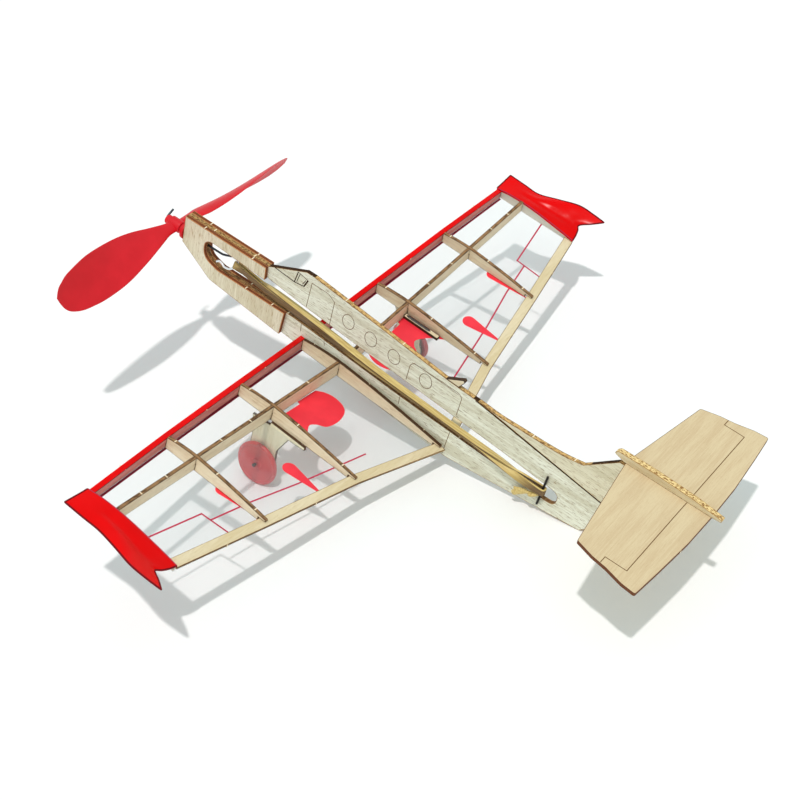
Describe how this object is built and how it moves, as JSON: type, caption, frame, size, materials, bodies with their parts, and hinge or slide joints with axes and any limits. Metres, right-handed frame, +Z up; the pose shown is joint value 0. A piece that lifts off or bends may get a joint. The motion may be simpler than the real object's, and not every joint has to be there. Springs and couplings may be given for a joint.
{
  "type": "rubber band powered model plane",
  "caption": "Light wooden model plane with film-covered flat-bottomed wings, red two-blade propeller driven by a rubber band, and two free wheels.",
  "frame": {"origin": "on the ground below the middle of the overall length, on the plane of symmetry; the plane stands on both wheels and the tail foot, pitched 12 degrees nose-up", "axes": "+X towards the right wing tip, +Y towards the nose, +Z up"},
  "size_m": [0.3104, 0.2822, 0.0773],
  "materials": {
    "balsa": "bare laser-cut sheet, burnt edges",
    "birch": "bare laser-cut sheet, burnt edges",
    "red_plastic": "satin moulded",
    "wheel_red": "satin",
    "red_film": "glossy covering film",
    "clear_film": "frosted see-through film with red print",
    "steel_wire": "drawn wire",
    "tan_rubber": "matt strip",
    "dark_pin": "dark oxide"
  },
  "bodies": {
    "airframe": {"fuselage_core": "balsa", "nose_doubler_right": "balsa", "nose_doubler_left": "balsa", "tail_fin": "balsa", "antenna_blade": "balsa", "stabilizer": "birch", "fin_cap": "birch", "thrust_bearing": "red_plastic", "rubber_strands": "tan_rubber", "rubber_knot": "tan_rubber", "motor_peg": "dark_pin", "leading_edge_right": "balsa", "le_wrap_right": "red_film", "main_spar_right": "balsa", "root_rib_right": "balsa", "rib_2_right": "balsa", "rib_3_right": "balsa", "tip_rib_right": "balsa", "trailing_edge_right": "balsa", "wing_film_right": "clear_film", "tip_fairing_right": "red_film", "gear_pad_right": "birch", "gear_leg_right": "birch", "axle_right": "dark_pin", "leading_edge_left": "balsa", "le_wrap_left": "red_film", "main_spar_left": "balsa", "root_rib_left": "balsa", "rib_2_left": "balsa", "rib_3_left": "balsa", "tip_rib_left": "balsa", "trailing_edge_left": "balsa", "wing_film_left": "clear_film", "tip_fairing_left": "red_film", "gear_pad_left": "birch", "gear_leg_left": "birch", "axle_left": "dark_pin"},
    "propeller": {"propeller": "red_plastic", "prop_shaft": "steel_wire", "rubber_front_bight": "tan_rubber"},
    "wheel_right": {"wheel_right": "wheel_red"},
    "wheel_left": {"wheel_left": "wheel_red"}
  },
  "joints": [
    {"name": "propeller_spin", "type": "hinge", "parent": "airframe", "child": "propeller", "pos_m": [0, 0.1273, 0.06592], "axis": [0, 0.9781, 0.2079], "continuous": true},
    {"name": "wheel_spin_right", "type": "hinge", "parent": "airframe", "child": "wheel_right", "pos_m": [0.0549, 0.04421, 0.01002], "axis": [-0.9903, 0.0289, -0.1361], "continuous": true},
    {"name": "wheel_spin_left", "type": "hinge", "parent": "airframe", "child": "wheel_left", "pos_m": [-0.0549, 0.04421, 0.01002], "axis": [-0.9903, -0.0289, 0.1361], "continuous": true}
  ]
}
